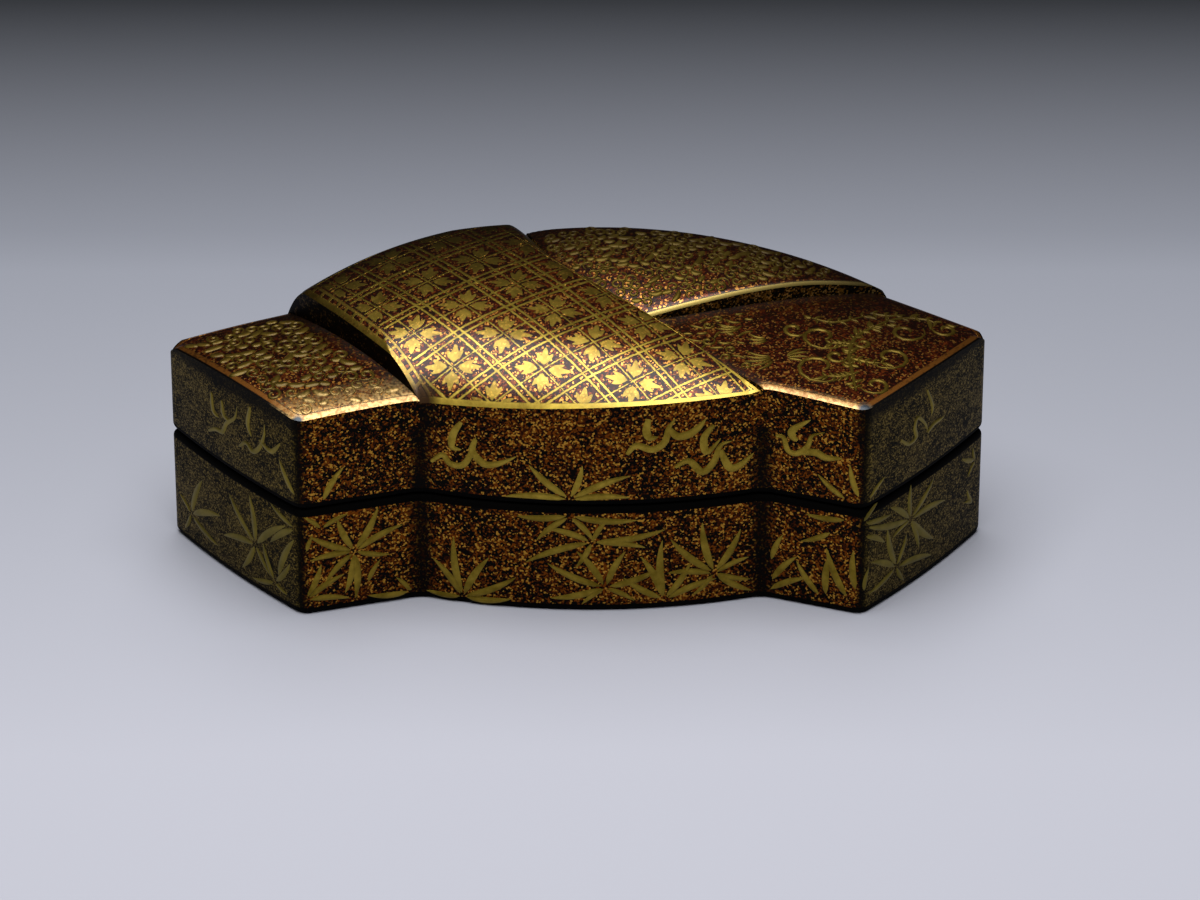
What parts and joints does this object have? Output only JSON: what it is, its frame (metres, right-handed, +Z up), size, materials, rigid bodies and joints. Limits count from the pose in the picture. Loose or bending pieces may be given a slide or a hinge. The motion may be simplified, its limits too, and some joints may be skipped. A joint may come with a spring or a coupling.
{
  "type": "incense box",
  "caption": "Small lidded box shaped like a folded, knotted letter; the lid with crossing raised strips lifts straight off a base with an inner lip.",
  "frame": {"origin": "middle of the footprint's bounding box, on the table under the base", "axes": "+X to the right along the box, +Y to the back, +Z up, the way the lid lifts"},
  "size_m": [0.0926, 0.0336, 0.0336],
  "materials": {
    "sprinkled_lacquer": "clear gloss lacquer over sprinkled gold flakes on dark brown, on a wood core",
    "gold_relief_lacquer": "gloss lacquer with raised gold ornament, on a wood core",
    "inner_lacquer": "gloss lacquer with fine sprinkled flakes, on thin wood"
  },
  "bodies": {
    "base": {"base_floor": "inner_lacquer", "base_wall_left_end": "sprinkled_lacquer", "base_wall_left_front": "sprinkled_lacquer", "base_wall_front": "sprinkled_lacquer", "base_wall_right_front": "sprinkled_lacquer", "base_wall_right_end": "sprinkled_lacquer", "base_wall_right_back": "sprinkled_lacquer", "base_wall_back": "sprinkled_lacquer", "base_wall_left_back": "sprinkled_lacquer", "lip_left_end": "inner_lacquer", "lip_left_front": "inner_lacquer", "lip_front": "inner_lacquer", "lip_right_front": "inner_lacquer", "lip_right_end": "inner_lacquer", "lip_right_back": "inner_lacquer", "lip_back": "inner_lacquer", "lip_left_back": "inner_lacquer"},
    "lid": {"lid_wall_left_end": "sprinkled_lacquer", "lid_wall_left_front": "sprinkled_lacquer", "lid_wall_front": "sprinkled_lacquer", "lid_wall_right_front": "sprinkled_lacquer", "lid_wall_right_end": "sprinkled_lacquer", "lid_wall_right_back": "sprinkled_lacquer", "lid_wall_back": "sprinkled_lacquer", "lid_wall_left_back": "sprinkled_lacquer", "lid_top_left_end": "gold_relief_lacquer", "lid_top_right_end": "gold_relief_lacquer", "lid_top_back_fold": "gold_relief_lacquer", "lid_top_band": "gold_relief_lacquer"}
  },
  "joints": [
    {"name": "lid_lift", "type": "slide", "parent": "base", "child": "lid", "axis": [0, 0, 1], "range_m": [0, 0.035]}
  ]
}
